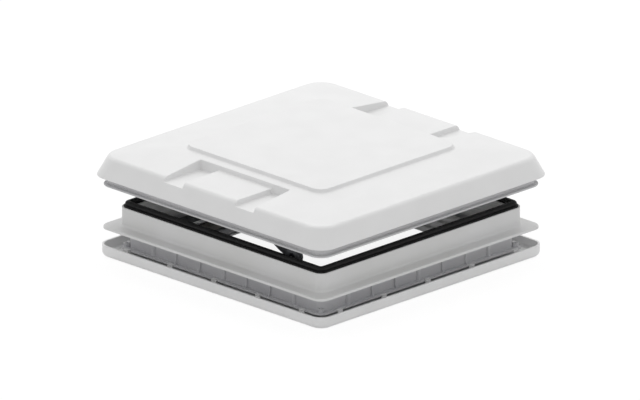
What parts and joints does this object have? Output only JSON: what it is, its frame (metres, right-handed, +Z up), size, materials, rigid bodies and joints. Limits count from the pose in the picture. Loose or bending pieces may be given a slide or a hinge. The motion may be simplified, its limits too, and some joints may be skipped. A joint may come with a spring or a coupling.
{
  "type": "caravan roof vent",
  "caption": "Square caravan roof vent with a lifting lid, sealed collar with roof flange, screwed clamp ring, ceiling trim, folding stays, and sliding blind and insect screen.",
  "frame": {"origin": "on the floor under the middle of the vent, at the underside of the ceiling trim", "axes": "+Z up through the roof; the lid's recesses and the stays are on the -Y and +Y sides, the blind cassette on -X and the screen cassette on +X"},
  "size_m": [0.469, 0.469, 0.169],
  "materials": {
    "white_abs": "satin moulded",
    "white_asa": "satin moulded",
    "lid_abs": "smooth thermoformed",
    "ring_plastic": "satin moulded",
    "grey_plastic": "satin moulded",
    "bar_plastic": "satin moulded",
    "dark_nylon": "matt moulded",
    "seal_rubber": "matt extruded",
    "zinc_steel": "zinc plated",
    "black_steel": "black plated",
    "blind_cloth": "pleated cloth",
    "screen_mesh": "pleated insect mesh"
  },
  "bodies": {
    "frame": {"trim_frame": "white_abs", "clamp_ring": "grey_plastic", "outer_frame": "white_asa", "lid_seal": "seal_rubber", "frame_screws": "zinc_steel", "trim_clips": "white_abs", "stay_bracket_front": "dark_nylon", "stay_bracket_rear": "dark_nylon", "bracket_screws": "zinc_steel", "pivot_bolt_front": "black_steel", "pivot_bolt_rear": "black_steel", "blind_cassette": "dark_nylon", "screen_cassette": "dark_nylon", "guide_rail_front": "white_abs", "guide_rail_rear": "white_abs", "blind_pleats": "blind_cloth", "screen_pleats": "screen_mesh"},
    "lid": {"lid_shell": "lid_abs", "lid_liner": "white_asa", "lid_ring": "ring_plastic", "lid_screws": "zinc_steel", "lid_rail_front": "dark_nylon", "lid_rail_rear": "dark_nylon", "rail_screws": "zinc_steel", "pull_handle": "white_abs", "handle_screws": "zinc_steel"},
    "front_stay": {"stay_front": "dark_nylon"},
    "rear_stay": {"stay_rear": "dark_nylon"},
    "front_knob": {"stay_knob_front": "dark_nylon"},
    "rear_knob": {"stay_knob_rear": "dark_nylon"},
    "blind": {"blind_bar": "bar_plastic"},
    "screen": {"screen_bar": "bar_plastic"}
  },
  "joints": [
    {"name": "lid_lift", "type": "slide", "parent": "frame", "child": "lid", "axis": [0, 0, 1], "range_m": [-0.0395, 0.035]},
    {"name": "front_stay_swing", "type": "hinge", "parent": "frame", "child": "front_stay", "pos_m": [0.13, -0.1804, 0.079], "axis": [0, 1, 0], "range_deg": [-33.5, 30]},
    {"name": "rear_stay_swing", "type": "hinge", "parent": "frame", "child": "rear_stay", "pos_m": [-0.13, 0.1804, 0.079], "axis": [0, -1, 0], "range_deg": [-33.5, 30]},
    {"name": "front_knob_turn", "type": "hinge", "parent": "front_stay", "child": "front_knob", "pos_m": [0.0588, -0.1718, 0.109], "axis": [0, 1, 0], "range_deg": [0, 180]},
    {"name": "rear_knob_turn", "type": "hinge", "parent": "rear_stay", "child": "rear_knob", "pos_m": [-0.0588, 0.1718, 0.109], "axis": [0, -1, 0], "range_deg": [0, 180]},
    {"name": "blind_slide", "type": "slide", "parent": "frame", "child": "blind", "axis": [1, 0, 0], "range_m": [0, 0.29]},
    {"name": "screen_slide", "type": "slide", "parent": "frame", "child": "screen", "axis": [-1, 0, 0], "range_m": [0, 0.29]}
  ],
  "couplings": [
    {"joint": "front_stay_swing", "follows": "lid_lift", "rad_per_m": 14.5},
    {"joint": "rear_stay_swing", "follows": "lid_lift", "rad_per_m": 14.5}
  ]
}
